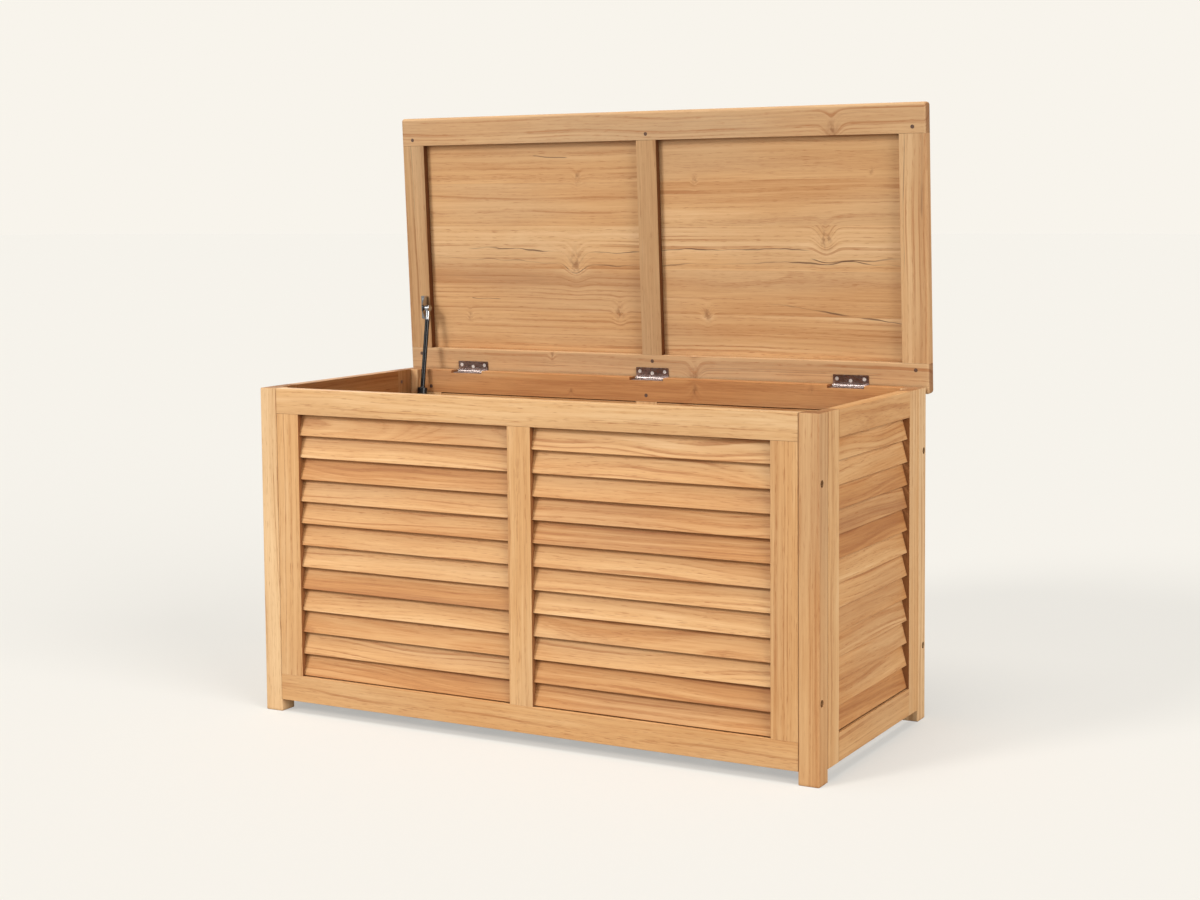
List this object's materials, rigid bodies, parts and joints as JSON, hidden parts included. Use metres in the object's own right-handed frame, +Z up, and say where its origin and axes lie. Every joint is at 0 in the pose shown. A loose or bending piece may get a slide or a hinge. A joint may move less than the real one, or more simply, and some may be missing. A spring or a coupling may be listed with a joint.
{
  "type": "deck storage box",
  "caption": "Teak outdoor storage box with louvred panels on all sides, a framed and panelled lid on butt hinges held open by a gas strut, and a slatted floor.",
  "frame": {"origin": "middle of the ground that the box covers with its lid open, at the undersides of the legs", "axes": "+X along the front towards the viewer's right, +Y from the front to the hinges, +Z up"},
  "size_m": [1.21, 0.568, 1.2006],
  "materials": {
    "teak_legs": "sanded, unfinished",
    "teak_frame": "sanded, unfinished",
    "teak_slats": "sanded, unfinished",
    "teak_lid_frame": "sanded, unfinished",
    "teak_lid_panels": "sanded, unfinished",
    "teak_floor": "sanded, unfinished",
    "dowel": "end grain",
    "hinge_steel": "polished",
    "screw_steel": "bright",
    "bolt_steel": "plain",
    "strut_rod_black": "gloss",
    "strut_tube_black": "gloss",
    "strut_fittings": "polished"
  },
  "bodies": {
    "box": {"back_bottom_rail": "teak_frame", "back_slats_left": "teak_slats", "back_slats_right": "teak_slats", "back_stile_centre": "teak_frame", "back_stile_left": "teak_frame", "back_stile_right": "teak_frame", "back_top_rail": "teak_frame", "barrel_nuts": "bolt_steel", "box_screws": "screw_steel", "floor_boards": "teak_floor", "floor_cleats": "teak_floor", "floor_screws": "screw_steel", "frame_pegs": "dowel", "front_bottom_rail": "teak_frame", "front_slats_left": "teak_slats", "front_slats_right": "teak_slats", "front_stile_centre": "teak_frame", "front_stile_left": "teak_frame", "front_stile_right": "teak_frame", "front_top_rail": "teak_frame", "hinge_box_leaf_left": "hinge_steel", "hinge_box_leaf_middle": "hinge_steel", "hinge_box_leaf_right": "hinge_steel", "hinge_pins": "hinge_steel", "left_bottom_rail": "teak_frame", "left_slats": "teak_slats", "left_stile_front": "teak_frame", "left_stile_rear": "teak_frame", "left_top_rail": "teak_frame", "leg_front_left": "teak_legs", "leg_front_right": "teak_legs", "leg_rear_left": "teak_legs", "leg_rear_right": "teak_legs", "panel_bolts": "bolt_steel", "right_bottom_rail": "teak_frame", "right_slats": "teak_slats", "right_stile_front": "teak_frame", "right_stile_rear": "teak_frame", "right_top_rail": "teak_frame", "strut_foot_bracket": "strut_fittings"},
    "lid": {"hinge_lid_leaf_left": "hinge_steel", "hinge_lid_leaf_middle": "hinge_steel", "hinge_lid_leaf_right": "hinge_steel", "lid_front_rail": "teak_lid_frame", "lid_muntin": "teak_lid_frame", "lid_panel_left": "teak_lid_panels", "lid_panel_right": "teak_lid_panels", "lid_pegs": "dowel", "lid_rear_rail": "teak_lid_frame", "lid_screws": "screw_steel", "lid_stile_left": "teak_lid_frame", "lid_stile_right": "teak_lid_frame", "strut_lid_bracket": "strut_fittings", "strut_lid_stud": "strut_fittings"},
    "strut_rod": {"strut_rod_end": "strut_fittings", "strut_rod": "strut_rod_black", "strut_piston": "screw_steel"},
    "strut_tube": {"strut_tube": "strut_tube_black", "strut_tube_end": "strut_fittings", "strut_foot_stud": "strut_fittings"}
  },
  "joints": [
    {"name": "lid_hinge", "type": "hinge", "parent": "box", "child": "lid", "pos_m": [0, 0.25524, 0.6469], "axis": [1, 0, 0], "range_deg": [0, 87], "stiffness_Nm_per_rad": 6.9, "springref_deg": -26.36},
    {"name": "strut_swivel", "type": "hinge", "parent": "lid", "child": "strut_rod", "pos_m": [-0.5445, 0.23552, 0.78431], "axis": [1, 0, 0], "range_deg": [-64.07, 0]},
    {"name": "strut_slide", "type": "slide", "parent": "strut_rod", "child": "strut_tube", "axis": [0, 0.1496, 0.9888], "range_m": [0, 0.1473]}
  ],
  "couplings": [
    {"joint": "strut_swivel", "follows": "lid_hinge", "ratio": -0.73067},
    {"joint": "strut_slide", "follows": "lid_hinge", "m_per_rad": 0.096346}
  ]
}
